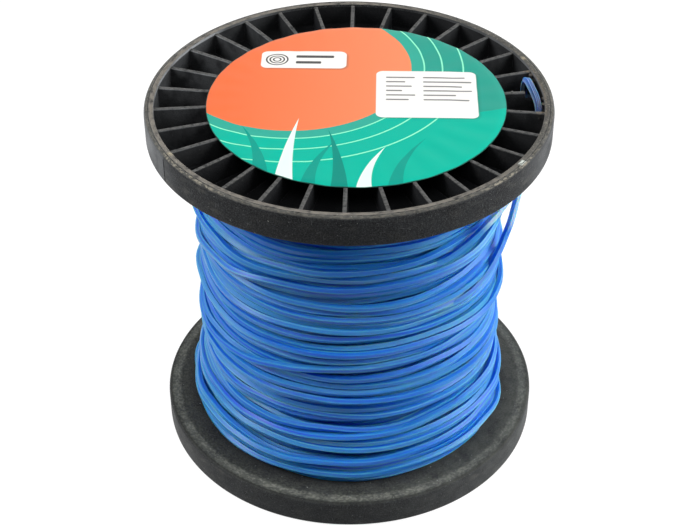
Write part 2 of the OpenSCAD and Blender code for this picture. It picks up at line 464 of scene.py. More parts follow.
lower = joined(flange, ribs)
lower.name = "lower_flange_moulding"
lower.data.transform(
    Matrix.Translation((0, 0, SPOOL_H * MM)) @ Matrix.Rotation(math.pi, 4, "Y"))
lower.data.update()
print("lower flange", [round(v / MM, 1) for v in lower.dimensions])

# %% [markdown]
# ## The two line holes and the notch
#
# The holes for the loose end are melted through the web with a hot rod, which
# leaves a small raised lip round each. Cutting out a cylinder makes the hole, and
# a thin ring with a shaken mesh makes the lip.


# %% Holes, lips and notch
def cut(piece, tool):
    """Cuts the tool's shape out of the piece and deletes the tool."""
    activate(piece)
    cutter = piece.modifiers.new("cut", "BOOLEAN")
    cutter.operation, cutter.object, cutter.solver = "DIFFERENCE", tool, "EXACT"
    bpy.ops.object.modifier_apply(modifier="cut")
    remove(tool)


melted = []
for hole in HOLE_ANGLES:
    at = polar(HOLE_AT, hole)
    cut(flange, cylinder(40, HOLE_R, 6, (*at, (HIGH_FACE + WEB_TOP) / 2)))
    for z in (WEB_TOP, HIGH_FACE):
        bpy.ops.mesh.primitive_torus_add(
            major_segments=40, minor_segments=8, major_radius=(HOLE_R + 0.12) * MM,
            minor_radius=0.2 * MM, location=metres(*at, z))
        lip = bpy.context.object
        bpy.ops.object.transform_apply(location=True)
        pick(lip, "vertices")
        bpy.ops.transform.vertex_random(offset=0.06 * MM, seed=int(z))
        done()
        melted.append(lip)
crossed = ribs[round((CROSSED_RIB - 90) % 360 / RIB_PITCH)]
saw = block((NOTCH_W, 3, SAW_H), (HOLE_AT, 0, RIB_TOP - NOTCH_DEPTH + SAW_H / 2))
rounded(saw, 0.9, 4, lambda a, b: a.z < RIB_TOP - 1 and b.z < RIB_TOP - 1 and near(a.x, b.x))
spin(saw, CROSSED_RIB)
cut(crossed, saw)
print("melted lips", len(melted))

# %% [markdown]
# ## Melted crumbs and parting marks
#
# Crumbs of plastic drawn up by the hot rod cling to the wall beside the holes, and
# one to the rib. Where the two halves of the mould met, a hair of flash runs down
# the rim. Small balls, flattened and shaken, and two thin bars are enough for marks
# a millimetre across. They are joined to the flange, as they are of its plastic.

# %% Crumbs and flash
CRUMBS = (  # radius, angle, height, size
    (59.0, 16.4, 120.7, 0.8), (59.4, 13.6, 120.2, 0.5), (59.4, 2.6, 120.7, 0.7),
    (59.2, -0.6, 120.9, 0.6), (58.9, -5.4, 120.4, 0.9), (58.0, -6.4, 119.8, 0.5),
    (50.3, 6, 121.3, 0.6),
)
for r, angle, z, size in CRUMBS:
    at = metres(*polar(r, angle), z)
    bpy.ops.mesh.primitive_ico_sphere_add(subdivisions=3, radius=size * MM, location=at)
    crumb = bpy.context.object
    bpy.ops.object.transform_apply(location=True)
    pick(crumb, "vertices")
    bpy.ops.transform.resize(value=(1, 1.3, 0.6), center_override=at)
    bpy.ops.transform.vertex_random(offset=0.22 * size * MM, seed=round(r * 10 + angle))
    done()
    melted.append(crumb)
for angle in PARTING_ANGLES:
    flash = block((0.2, 0.32, 7.4), (FLANGE_R + 0.02, 0, SPOOL_H - 4.9))
    rounded(flash, 0.07, 2, lambda a, b: a.x > FLANGE_R and b.x > FLANGE_R)
    spin(flash, angle)
    melted.append(flash)
upper = joined(flange, ribs + melted)
upper.name = "upper_flange_moulding"
remove(flange, *ribs, *melted)
for piece, node in ((upper, "upper_flange"), (lower, "lower_flange")):
    activate(piece)
    bpy.ops.object.shade_smooth_by_angle(angle=math.radians(32))
    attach(piece, "root")
    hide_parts(node)
print("upper flange", len(upper.data.polygons), "faces")

# %% [markdown]
# ## Winding the line
#
# A real winder lays the line through a guide that runs up and down while the
# spool turns. Each turn drops into the valley beside its neighbours, or spans
# from high place to high place where it crosses them. Drawing such a winding by
# hand looks false at once, so it is wound here by the same rules. A table keeps,
# for every direction round the spool and every height, how far out the next
# strand must lie. A turn looks up its supports, slides a little towards the
# valley, is pulled taut over the high places, and then raises the table itself.
#
# The winder's pull isn't the same all the way round: low on the spool the layers
# pack looser towards the left and tighter towards the front right.

# %% The table of supports
STEPS = 120  # places round one turn
TURN_ANGLE = 360 / STEPS
PITCH = 2.135  # how closely two star-section strands pack, mm
SLICE = 0.1  # spacing of the table's heights, mm
START_ANGLE = 90.0
LONGEST_SPAN = 3.0  # how far round a strand may hang free, radians
heights = np.arange(LOW_FACE, HIGH_FACE + SLICE / 2, SLICE)
support = np.full((STEPS, len(heights)), DRUM_R + PITCH / 2)
LOOSE_SIDE = 206
toward = np.radians(START_ANGLE + TURN_ANGLE * np.arange(STEPS) - LOOSE_SIDE)


def hump(level, spread):
    """A bell over the table's heights."""
    return np.exp(-(((heights - level) / spread) ** 2))


# How much thicker a layer lies, by direction and height: a broad lean to the left, then
# lobes that change one side alone, each an amount, a direction, a height and its spread.
looseness = 1 + (0.005 + 0.07 * np.cos(toward)[:, None]) * hump(20, 30)
for more, side, level, spread in ((0.13, 205, 10, 5), (0.03, 170, 22, 8), (-0.10, -35, 17, 11)):
    lobe = np.maximum(0, np.cos(toward + np.radians(LOOSE_SIDE - side)))[:, None]
    looseness = looseness + more * lobe * hump(level, spread)


def smooth(values, half):
    """A running average with a bell-shaped weight."""
    weight = np.hanning(2 * half + 3)[1:-1]
    padded = np.concatenate([np.full(half, values[0]), values, np.full(half, values[-1])])
    return np.convolve(padded, weight / weight.sum(), "valid")


def supports(columns, z):
    """Where the next strand's centre would lie, at these places and heights."""
    f = (z - LOW_FACE) / SLICE
    k = np.clip(f.astype(int), 0, len(heights) - 2)
    u = np.clip(f - k, 0, 1)
    return support[columns, k] * (1 - u) + support[columns, k + 1] * u


def taut(r):
    """Pulls a strand tight: what stays is the outline of its highest supports."""
    a = np.radians(TURN_ANGLE) * np.arange(len(r))
    x, y = r * np.cos(a), r * np.sin(a)
    held = [0]
    for c in range(1, len(r)):
        while len(held) > 1:
            p, q = held[-2], held[-1]
            inside = (x[q] - x[p]) * (y[c] - y[q]) - (y[q] - y[p]) * (x[c] - x[q]) <= 0
            if not (inside and a[c] - a[p] < LONGEST_SPAN):
                break
            held.pop()
        held.append(c)
    pulled = np.empty(len(r))
    for p, q in zip(held[:-1], held[1:]):
        t = a[p : q + 1]
        pulled[p : q + 1] = np.sin(a[q] - a[p]) / (
            np.sin(a[q] - t) / r[p] + np.sin(t - a[p]) / r[q])
    return pulled


print("table", support.shape)

# %% Lay the turns
SLIDES, SLIDE, FARTHEST = 6, 0.35, 0.9  # how many slides, how far in one and in all, mm
FEEL = 0.3  # how far up and down a turn feels for the slope, mm
LOOK_BACK, LOOK_AHEAD = 40, 30  # places before and after a turn that are pulled with it


def lay(guide, bite=1.0):
    """Winds one strand after the guide's heights. Gives its radii and heights, mm.
    A bite below 1 lets the strands above press into it."""
    radii, z_laid = np.zeros(len(guide)), np.array(guide, float)
    low, high = LOW_FACE + PITCH / 2, HIGH_FACE - PITCH / 2
    for i in range(0, len(guide), STEPS):
        n, end = min(STEPS, len(guide) - i), min(len(guide), i + STEPS + LOOK_AHEAD)
        columns = np.arange(i, end) % STEPS
        z0 = z_laid[i:end].copy()
        z = z0.copy()
        for _ in range(SLIDES):  # towards the valley
            slope = supports(columns, np.minimum(z + FEEL, HIGH_FACE)) - supports(
                columns, np.maximum(z - FEEL, LOW_FACE))
            z = z - SLIDE * np.clip(slope / (2 * FEEL), -1, 1)
            z = np.clip(z0 + smooth(np.clip(z - z0, -FARTHEST, FARTHEST), 5), low, high)
        if i:  # join the last turn without a step
            jump = z_laid[i - 1] - guide[i - 1] - (z[0] - z0[0])
            z = np.clip(z + jump * np.exp(-np.arange(len(z)) / 12), low, high)
        before = min(LOOK_BACK, i)
        whole = np.concatenate([radii[i - before : i], supports(columns, z) + 0.02])
        radii[i : i + n] = taut(whole)[before : before + n]
        z_laid[i : i + n] = z[:n]
        columns, r, z = columns[:n], radii[i : i + n], z_laid[i : i + n]
        reach = int(round(PITCH / SLICE))
        for d in range(-reach, reach + 1):  # raise the table
            k = np.round((z - LOW_FACE) / SLICE).astype(int) + d
            gap = LOW_FACE + k * SLICE - z
            ok = (k >= 0) & (k < len(heights)) & (np.abs(gap) < PITCH)
            at = columns[ok], k[ok]
            top = r[ok] + bite * looseness[at] * np.sqrt(PITCH**2 - gap[ok] ** 2)
            support[at] = np.maximum(support[at], top)
    return np.maximum(smooth(radii, 1), radii - 0.1), z_laid


print("winder ready")

# %% [markdown]
# The guide's program has three parts. The inner passes run up and down at an even
# pitch, with short extra runs near the lower flange, where the spool is fuller.
# The last full layer runs down with its turns bunched in twos to sixes and narrow
# gaps between the bunches. Over it goes a last coarse pass upwards whose turns
# lie level in front in places and cross the layer at a slant in others, and from
# its top the strand comes down again to where its loose end leaves the winding.

# %% The guide's program
LOW_STOP, HIGH_STOP = LOW_FACE + 1.25, HIGH_FACE - 1.25
STOPS = (22, LOW_STOP, HIGH_STOP, LOW_STOP, HIGH_STOP, LOW_STOP, 14, LOW_STOP,
         HIGH_STOP, LOW_STOP, HIGH_STOP - 0.35)
BUNCHES = (  # the height of each turn, which it holds for LEVEL places
    110.4, 108, 105.6, 103.2, 95.2, 92.6, 90.2, 85.6, 83.2, 79.0, 76.6, 74.2, 71.8, 69.4,
    66.9, 61.9, 59.5, 57.1, 53.0, 50.6, 48.2, 43.6, 41.2, 36.3, 33.9, 29.5, 27.1, 24.0,
    21.5, 17.6, 15.2, 12.0)
LEVEL = 73
COARSE_ANGLES = (-179, -157, -137, -117, -97, -77, -57, -37, -17)
COARSE = (  # the heights of each turn at those angles
    (13.0, 12.2, 11.9, 11.9, 12.6, 13.6, 14.3, 14.6, 14.8),
    (15.5, 15.8, 16.2, 16.8, 17.6, 18.2, 18.4, 18.6, 18.8),
    (22.5, 22.5, 22.5, 22.5, 22.5, 22.6, 22.9, 23.4, 24.0),
    (26.3, 26.3, 26.4, 26.5, 26.8, 27.0, 28.0, 29.5, 31.0),
    (41.5,) * 9,
    (44.3,) * 9,
    (46.5, 47.0, 48.6, 51.8, 54.4, 55.0, 56.6, 57.8, 58.5),
    (60.0, 60.0, 60.2, 60.4, 60.6, 60.8, 61.0, 61.2, 61.5),
    (77.5, 78.9, 81.5, 84.7, 85.7, 86.3, 86.6, 86.0, 86.0),
    (86.5, 87.6, 89.5, 91.6, 92.4, 92.5, 93.4, 94.1, 94.5),
    (96.5, 96.7, 97.0, 97.0, 97.0, 97.2, 97.5, 97.7, 97.8),
    (89.5, 89.6, 89.8, 90.0, 90.1, 90.2, 90.2),
)
FRONT_START = round((160 - START_ANGLE) / TURN_ANGLE)  # where a level front begins in a turn
dice = np.random.default_rng(4)


def wander(count, size, spacing=30):
    """A slow unsteadiness of the guide, mm."""
    marks = dice.normal(0, size, count // spacing + 4)
    return smooth(np.interp(np.arange(count), np.arange(len(marks)) * spacing, marks), 15)


inner_plan = []
for here, there in zip(STOPS[:-1], STOPS[1:]):
    count = round(abs(there - here) / 2.37 * STEPS)
    inner_plan += [here + (there - here) * np.arange(count) / count,
                   np.full(STEPS // 10, there)]
inner_plan = np.concatenate(inner_plan)
spare = (FRONT_START - len(inner_plan)) % STEPS
inner_plan = np.concatenate([inner_plan, inner_plan[-1] - 0.6 * np.arange(spare) / STEPS])
inner_plan = np.clip(
    inner_plan + wander(len(inner_plan), 0.25), LOW_STOP - 0.1, HIGH_STOP + 0.1)

marks, levels = [], []
for k, level in enumerate(BUNCHES):
    marks += [k * STEPS, k * STEPS + LEVEL]
    levels += [level, level]
top_at = len(BUNCHES) * STEPS
for k, row in enumerate(COARSE):
    marks += [top_at + k * STEPS + (a + 200) / TURN_ANGLE for a in COARSE_ANGLES[: len(row)]]
    levels += row
outer_plan = smooth(np.interp(np.arange(int(marks[-1]) + 2), marks, levels), 7)
outer_plan[:top_at] += np.tile(wander(STEPS, 0.2), len(BUNCHES)) * 0.8
print("guide:", round(len(inner_plan) / STEPS), "inner turns,", len(BUNCHES), "bunched,",
      len(COARSE), "coarse")

# %% Wind it
inner_r, inner_z = lay(inner_plan)
outer_r, outer_z = lay(outer_plan, bite=0.84)
wound_r, wound_z = np.append(inner_r, outer_r), np.append(inner_z, outer_z)
wound_a = np.radians(START_ANGLE + TURN_ANGLE * np.arange(len(wound_r)))

wound = np.column_stack([wound_r * np.cos(wound_a), wound_r * np.sin(wound_a), wound_z])
print("wound line", round(np.linalg.norm(np.diff(wound, axis=0), axis=1).sum() / 1000, 1),
      "m in", round(len(wound) / STEPS), "turns")

# %% [markdown]
# ## From path to star-section strand
#
# The line is extruded through a die with five points, which is why fine bright
# ridges run along it. A curve swept with a ten-cornered star gives that at once,
# and turning the section slowly along the way gives the line's natural twist.
# Each stretch becomes a mesh of its own, so that no piece gets too heavy: the
# deep layers, which are hardly seen, have a hexagon in place of the star.

# %% Sweep a strand
TWIST = 0.9  # how far the section turns, degrees per mm of line


def section(*radii):
    """A closed outline to sweep, its corners at these radii in mm, evenly turned."""
    curve = bpy.data.curves.new("section", "CURVE")
    spline = curve.splines.new("POLY")
    spline.points.add(len(radii) - 1)
    for k, (point, r) in enumerate(zip(spline.points, radii)):
        turned = math.tau * k / len(radii)
        point.co = (r * MM * math.cos(turned), r * MM * math.sin(turned), 0, 1)
    spline.use_cyclic_u = True
    return placed("section", curve)


def distances(path):
    """How far along the path each of its points is."""
    return np.append(0, np.cumsum(np.linalg.norm(np.diff(path, axis=0), axis=1)))


def carry(piece, name, values):
    """Gives each point of the piece a number or a vector that its material can read."""
    kind, field = ("FLOAT_VECTOR", "vector") if np.ndim(values) > 1 else ("FLOAT", "value")
    carried = piece.data.attributes.new(name, kind, "POINT")
    carried.data.foreach_set(field, np.ravel(values).astype(float))


def sweep(name, path, outline, upright=True, start=0.0):
    """A strand along path (mm), as a mesh, and its length in m. start is the section's
    turn in degrees where it begins."""
    curve = bpy.data.curves.new(name, "CURVE")
    curve.dimensions = "3D"
    curve.twist_mode = "Z_UP" if upright else "MINIMUM"
    curve.bevel_mode, curve.bevel_object, curve.use_fill_caps = "OBJECT", outline, True
    spline = curve.splines.new("POLY")
    spline.points.add(len(path) - 1)
    along = distances(path)
    spline.points.foreach_set("co", np.column_stack([path * MM, np.ones(len(path))]).ravel())
    spline.points.foreach_set("tilt", np.radians(start + TWIST * along))
    activate(placed(name, curve))
    bpy.ops.object.convert(target="MESH")
    piece = bpy.context.object
    while piece.data.uv_layers:
        piece.data.uv_layers.remove(piece.data.uv_layers[0])
    # Each point carries where it is: metres along, the way round the section, and ridge
    # or valley. The first two rings are the end caps' own points.
    corners = len(outline.data.splines[0].points)
    ring, corner = np.divmod(np.arange(len(piece.data.vertices)), corners)
    at = np.clip(np.where(ring == 0, len(path) - 1, ring - 2), 0, len(path) - 1)
    way = math.tau * corner / corners
    carry(piece, "strand", np.column_stack([along[at] / 1000, np.cos(way), np.sin(way)]))
    carry(piece, "valley", corner % 2)
    pick(piece, "vertices")
    bpy.ops.mesh.remove_doubles(threshold=0.001 * MM)
    done()
    bpy.ops.object.shade_smooth_by_angle(angle=math.radians(55))
    return piece, along[-1] / 1000


star = section(*(LINE_R, 0.96) * 5)  # ridge and valley
hexagon = section(*(1.17,) * 6)
print("sections ready")


# %% The inner layers and the outer ones
def stretch(name, first, last, step, outline):
    """The wound line from place first to place last, taking every step-th place."""
    at = np.unique(np.append(np.arange(first, last, step), last))
    piece, length = sweep(name, wound[at], outline)
    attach(piece, "root")
    print(name, "metres", round(length, 1))
    return piece


UNDER_TURNS = 42  # turns just under the outer layer, which show in its gaps
outer_start = len(inner_plan)
top_start = outer_start + top_at
under_start = outer_start - UNDER_TURNS * STEPS
deep = stretch("wound_line_deep_layers", 2, under_start, 3, hexagon)
under = stretch("wound_line_under_layer", under_start, outer_start, 2, star)
bunched = stretch("wound_line_outer_layer", outer_start, top_start, 1, star)
coarse = stretch("wound_line_top_turns", top_start, len(wound) - 1, 1, star)
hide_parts("line_bulk")
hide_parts("line_turns")

# %% [markdown]
# ## The two ends of the line
#
# The inner end is hooked through a hole in the tube, and the outer end is held by
# the upper flange: it rises from the last turn, goes up through one melted hole,
# over the notched rib and down through the other. Its route is a smooth curve
# through chosen places, so that it stays in the middle of each hole. It meets the
# last turn where that really lies, rests on the winding as it comes back, and its
# cut end is tucked in between two turns.

# %% A smooth route through chosen points
END_STOPS = (
    (51.25, -57.3, 90.25), (51.5, -52, 91.3), (51.9, -46, 93.3), (52.5, -40, 95.8),
    (53.2, -34, 98.4), (53.8, -28, 100.7), (54.3, -21, 102.7), (54.8, -13, 104.4),
    (55.3, -5, 105.8), (55.7, 2.6, 106.9), (56.2, 8.1, 108.2), (56.5, 12, 109.2),
    (56.6, 13.9, 111.9), (56.6, 14.9, 114.4), (56.7, 15.7, 117.6), (56.9, 15.4, 119.8),
    (57.0, 13.4, 120.6), (57.1, 10, 120.5), (57.3, 6, 120.5), (57.6, 2, 120.5),
    (57.8, -1.2, 120.4), (57.8, -3.1, 119.4), (57.5, -3.3, 117.2), (57.0, -2.6, 114.4),
    (56.8, -2.8, 111.8), (56.3, -3.5, 108), (55.5, -4.8, 103.5), (54.5, -6.8, 99),
    (53.5, -9.1, 94), (52.8, -11.4, 89.2), (52.15, -13.6, 85), (51.75, -16.2, 81.3),
    (51.5, -19.6, 78.7), (51.05, -23.2, 76.6), (51.05, -27.2, 74.7), (51.05, -32.2, 72.9),
    (51.05, -38.2, 71.5), (51.05, -44.6, 70.6), (51.05, -51, 70), (51.05, -57.4, 69.6),
)
LEAVING = 8  # how many of the first stops are led to where the last turn lies
BED = 13  # how many of the last stops are fitted to the winding


def route(stops, spacing=0.6, before=None):
    """A smooth path through points given as radius mm, degrees and height mm. before is
    the place that the strand comes from."""
    p = np.array([(*polar(r, a), z) for r, a, z in stops])
    p = np.vstack([2 * p[0] - p[1] if before is None else before, p, 2 * p[-1] - p[-2]])
    path = []
    for a, b, c, d in zip(p[:-3], p[1:-2], p[2:-1], p[3:]):
        count = max(2, round(np.linalg.norm(c - b) / spacing))
        for t in np.linspace(0, 1, count, endpoint=False):
            path.append(0.5 * (2 * b + (c - a) * t + (2 * a - 5 * b + 4 * c - d) * t**2
                               + (3 * b - a - 3 * c + d) * t**3))
    path = np.array(path + [p[-2]])
    for _ in range(3):
        path[1:-1] = path[:-2] / 4 + path[1:-1] / 2 + path[2:] / 4
    return path


stops = np.array(END_STOPS)
meeting = np.array([wound_r[-1], math.degrees(wound_a[-1]) % 360 - 360, wound_z[-1]])
rise = stops[0] - meeting
fade = (1 - np.arange(LEAVING) / LEAVING) ** 1.5
stops[:LEAVING] -= rise * (1, 0, 1) * fade[:, None]
onward = stops[stops[:, 1] > meeting[1] + 3]
stops = np.vstack([meeting, onward[: LEAVING - 1], stops[LEAVING:]])
places = np.round((stops[-BED:, 1] - START_ANGLE) / TURN_ANGLE).astype(int) % STEPS
bed = smooth(supports(places, stops[-BED:, 2]), 2) + 0.1
settled = np.clip((np.arange(BED) - 3) / 5, 0, 1)
stops[-BED:, 0] += (bed - stops[-BED:, 0]) * settled
stops[-4:, 0] -= (0.2, 0.7, 1.5, 2.6)  # the tucked cut end
end_path = route(stops, before=wound[-4:-3])
print("outer end leaves", meeting.round(1))


# %% Sweep the ends
def ridge_angle(piece, point, ahead):
    """Where the ridges of a section point, degrees about the way ahead."""
    ahead = Vector(ahead).normalized()
    side = ahead.cross(Vector((0, 0, 1))).normalized()
    over = ahead.cross(side)
    total = 0
    for v in piece.data.vertices:
        d = v.co / MM - Vector(point)
        if near(d.length, LINE_R, 0.03) and near(d.dot(ahead), 0, 0.3):
            total += np.exp(5j * math.atan2(d.dot(over), d.dot(side)))
    return math.degrees(np.angle(total)) / 5


# The strand goes on without a step: its section starts turned as the last turn's ends.
ahead = end_path[1] - end_path[0]
trial, _ = sweep("trial", end_path[:3], star, upright=False)
start = ridge_angle(coarse, end_path[0], ahead) - ridge_angle(trial, end_path[0], ahead)
line_end, end_length = sweep("line_outer_end", end_path, star, upright=False, start=start)
# How far a point of it stands off the winding: its colour is painted paler there, as painted
# light coming through it.
WOUND_R = 51.5  # where a strand that lies on the winding runs
along = [v.vector[0] * 1000 for v in line_end.data.attributes["strand"].data]
stands_off = np.interp(along, distances(end_path), np.hypot(*end_path.T[:2])) - WOUND_R
carry(line_end, "free", np.clip(stands_off / 0.7, 0, 1))

# The inner end lies along the tube's inside, bends, and comes out through the anchor hole.
ANCHOR_ANGLE, ANCHOR_Z, BEND_R = 90, 22, 4.8
hook = [(27.1 - 3.3 * s / 6, ANCHOR_ANGLE + 11.6 + 45 * (1 - s / 6), ANCHOR_Z)
        for s in range(7)]
for t in np.radians((20, 40, 60, 80)):
    x, y = 28.6 - BEND_R * math.cos(t), BEND_R * (1 - math.sin(t))
    hook.append((math.hypot(x, y), ANCHOR_ANGLE + math.degrees(math.atan2(y, x)), ANCHOR_Z))
hook += [(r, ANCHOR_ANGLE + past, ANCHOR_Z) for r, past in ((30.2, 0), (31.6, 0.8), (32.1, 3.2))]
hook.append((wound_r[2], math.degrees(wound_a[2]), wound_z[2]))
line_start, start_length = sweep("line_inner_end", route(hook), star)
for piece, node in ((line_end, "line_end"), (line_start, "line_start")):
    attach(piece, "root")
    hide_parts(node)
remove(trial, star, hexagon)
print("ends, metres", round(end_length, 3), round(start_length, 3))

# %% [markdown]
# ## The label
#
# A disc of printed film, stuck on the ribs, the hub ring and the boss. Between the
# ribs it sinks by a tenth of a millimetre or two, which shows only in its shine.

# %% Label disc
LABEL_RINGS, RING_STEP, SAG = 18, 2.45, 0.16
label = cylinder(180, LABEL_R, LABEL_T, (*LABEL_AT, RIB_TOP + LABEL_T / 2))
label.name = "label_film"
rounded(label, 0.12, 2, lambda a, b: near(a.z, b.z) and near(a.z, RIB_TOP + LABEL_T))
pick(label, "faces", lambda p, n: n.z > 0.99
     and radius((p.x - LABEL_AT[0], p.y - LABEL_AT[1])) < 1)
for _ in range(LABEL_RINGS):
    bpy.ops.mesh.inset(thickness=RING_STEP * MM)
done()
for v in label.data.vertices:
    p = v.co / MM
    r, half = radius(p), RIB_PITCH / 2
    if p.z > RIB_TOP + 0.01 and r > HUB_RING[1] + 0.5:
        a = math.degrees(math.atan2(p.y, p.x))
        across = abs((a - CROSSED_RIB + half) % RIB_PITCH - half) / half
        fade = min(1, (r - HUB_RING[1]) / 4)
        v.co.z -= SAG * fade * (1 - math.cos(math.pi * across)) / 2 * MM
activate(label)
bpy.ops.object.shade_smooth_by_angle(angle=math.radians(40))
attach(label, "root")
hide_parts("label")
print("label", len(label.data.polygons), "faces")

# %% [markdown]
# ## Line: nylon monofilament
#
# Trimmer line is nylon 6, coloured in the mass and extruded through a star die,
# then drawn. The die leaves a half-gloss skin with fine streaks that run along
# the line, and the clear blue body lets light in, so that the valleys between
# strands turn deep blue and not black. The colour and the gloss vary with what
# each point of a strand carries: how far along the line it is, where round the
# section it sits, and how far it stands off the winding. Some of that colour is
# painted light: painted shade deepens the blue in the section's valleys, the
# loose end is painted paler for the light that comes through it, and painted
# shade darkens it over the notched rib and in the cell below.

# %% Nylon
nylon = new_material("extruded nylon 6 monofilament, blue")
strand = add("Attribute", attribute_name="strand").outputs["Vector"]
# The dye's strength drifts over 100 mm or so, and the die's fine streaks are nearly as long.
slow = add("VectorMath", [strand, (9, 0.7, 0.7)], operation="MULTIPLY")
drift = add("TexNoise", {"Vector": slow, "Scale": 1.0, "Detail": 2.0})
quick = add("VectorMath", [strand, (14, 5.5, 5.5)], operation="MULTIPLY")
streak = add("TexNoise", {"Vector": quick, "Scale": 1.0, "Detail": 3.0})
mixed = add("Mix", {0: 0.55, 2: drift, 3: streak}, data_type="FLOAT")
# The dye is painted deeper blue in the section's valleys: painted shade, for light travels
# further through the body to reach a valley.
valley = add("Attribute", attribute_name="valley").outputs["Fac"]
lighter = add("Math", [valley, -0.14, mixed], operation="MULTIPLY_ADD")
dye = add("ValToRGB", [lighter], stops=(
    (0.14, "0845e6"), (0.32, "1a69dc"), (0.50, "3e98d6"), (0.66, "7cc0e2")))
# Off the winding its colour is painted paler, as painted light coming through it from behind.
# Where it is bent hard over the rib it is crazed white in streaks, and painted shade darkens
# it there: darker towards the hole where it goes down, and darkest below the rib's top, in the
# cell.
free = add("Attribute", attribute_name="free").outputs["Fac"]
x, y, z = add("SeparateXYZ", [add("TexCoord").outputs["Object"]]).outputs
bent = add("MapRange", [z, 0.112, 0.116])
# Painted shade over the rib: darker towards the hole, near black below the rib's top.
painted_rib_shade = add("ValToRGB", [add("MapRange", [y, -0.003, 0.015])], stops=(
    (0.0, "0a1f48"), (0.5, "143970"), (1.0, "3f74bd")))
painted_rib_shade = tinted(painted_rib_shade, "070c16", add("MapRange", [z, 0.1200, 0.1190]))
crazed = add("MapRange", [streak, 0.54, 0.64])
colour = layered(dye, (
    ("b0d2f2", free, 0.9),
    (painted_rib_shade, bent, 0.95),
    ("86a8d8", bent, crazed),
))
gloss = add("MapRange", [streak, 0.3, 0.7, 0.32, 0.50])
dent = add("Bump", {"Height": streak, "Strength": 0.35, "Distance": 0.00006})
skin = add("BsdfPrincipled", {
    "Base Color": colour, "Roughness": gloss, "Normal": dent, "IOR": 1.53,
    "Specular IOR Level": 0.24, "Subsurface Weight": 0.9,
    "Subsurface Radius": (0.12, 0.45, 1.3), "Subsurface Scale": 0.003})
dress(nylon, skin, deep, under, bunched, coarse, line_end, line_start)

# %% [markdown]
# ## Flanges and tube: recycled polypropylene
#
# Delivery spools are moulded from mixed black regrind. The eye reads it by its
# flaws: a charcoal skin with pale specks of other plastics, short scratches from
# handling that run round the rim, a dusty grey where spools are stacked rim on
# rim, and edges rubbed pale. The patterns follow the turning, so they are
# made from the distance to the axis and the way round, in millimetres.


# %% Masks for patterns
def speckle(place, size, low, high, detail=2.0):
    """A mask of spots: noise of the given spacing in mm, cut between low and high.
    size may be one number or a spacing for each direction."""
    spacing = size if isinstance(size, tuple) else (size, size, size)
    scaled = add("VectorMath", [place, spacing], operation="DIVIDE")
    noise = add("TexNoise", {"Vector": scaled, "Scale": 1.0, "Detail": detail})
    return add("MapRange", [noise, low, high], interpolation_type="SMOOTHSTEP")


def between(value, low, high, soft):
    """A mask that is 1 where value lies between low and high."""
    edges = (low - soft, low + soft), (high + soft, high - soft)
    return times(*(add("MapRange", [value, *edge], interpolation_type="SMOOTHSTEP")
                   for edge in edges))


print("pattern helpers ready")

# %% Recycled plastic: where a point is
plastic = new_material("recycled polypropylene, injection moulded, black")
# Its place in mm, then its distance from the axis, the way round the rim from the side at
# -Y, and its height, and these three as one vector.
mm = add("VectorMath", {0: add("TexCoord").outputs["Object"], "Scale": 1000}, operation="SCALE")
x, y, height = add("SeparateXYZ", [mm]).outputs
reach = add("VectorMath", [add("CombineXYZ", [x, y])], operation="LENGTH").outputs["Value"]
arc = times(add("Math", [x, times(y, -1)], operation="ARCTAN2"), FLANGE_R)
around = add("CombineXYZ", [reach, arc, height])
normal = add("NewGeometry").outputs["Normal"]
upness = add("SeparateXYZ", [normal]).outputs[2]
facing_up = add("MapRange", [upness, 0.5, 0.95])
facing_out = add("MapRange", [upness, 0.9, 0.4])
print("places", len(tree.nodes), "nodes so far")

# %% Recycled plastic: zones
top_zone = add("MapRange", [height, RIB_TOP - 0.6, RIB_TOP - 0.2])
rib_top = times(top_zone, facing_up)
rim_band = times(between(reach, RIM_IN - 0.2, RIM_IN + 1.5, 0.15), rib_top)
worn_band = times(rim_band, between(arc, 58, 168, 18))
ridge = times(between(reach, FLANGE_R - 1.15, FLANGE_R - 0.35, 0.2),
              add("MapRange", [height, SPOOL_H - 1.0, SPOOL_H - 0.3]))
low_face = times(add("MapRange", [height, LOW_FACE + 1, LOW_FACE + 0.5]), facing_up)
low_outer = times(low_face, add("MapRange", [reach, 52, 63]))
low_edge = times(low_face, between(reach, 58.6, 61.0, 0.7))
low_shoulder = times(between(reach, 61.5, 62.1, 0.15),
                     between(height, LOW_FACE - 1.0, LOW_FACE, 0.1))
low_side = times(add("MapRange", [height, LOW_FACE + 0.5, LOW_FACE]), facing_out)
high_side = times(facing_out, between(height, SPOOL_H - 9.8, SPOOL_H, 0.3))
on_right = between(arc, 28, 150, 26)
# the cells between the ribs, painted dark for their clean skin and as shade
cells_painted_dark = times(between(height, WEB_TOP - 0.3, RIB_TOP - 0.35, 0.15),
                 between(reach, HUB_RING[1], RIM_IN + 0.15, 0.1))
by_holes = times(between(reach, 57.0, 60.2, 0.2), between(arc, 89, 119, 0.5),
                 between(height, RIB_TOP - 2.2, SPOOL_H, 0.2))
gouge = times(between(arc, 59.7, 62.3, 0.4), between(reach, 60.2, 61.5, 0.2), top_zone)
# The rim was knocked most on two stretches.
knocked = add("Math", [between(arc, -66, -38, 5), between(arc, 43, 66, 5)], operation="MAXIMUM")
knocked = add("Math", [knocked, 0.6, 0.25], operation="MULTIPLY_ADD")
# Edges: where a rounded copy of the surface turns away from the real one.
rounding = add("Bevel", {"Radius": 0.0005}, samples=6)
turned = add("VectorMath", [rounding, normal], operation="DOT_PRODUCT").outputs["Value"]
edge = add("MapRange", [turned, 0.97, 0.80])
print("zones", len(tree.nodes), "nodes so far")

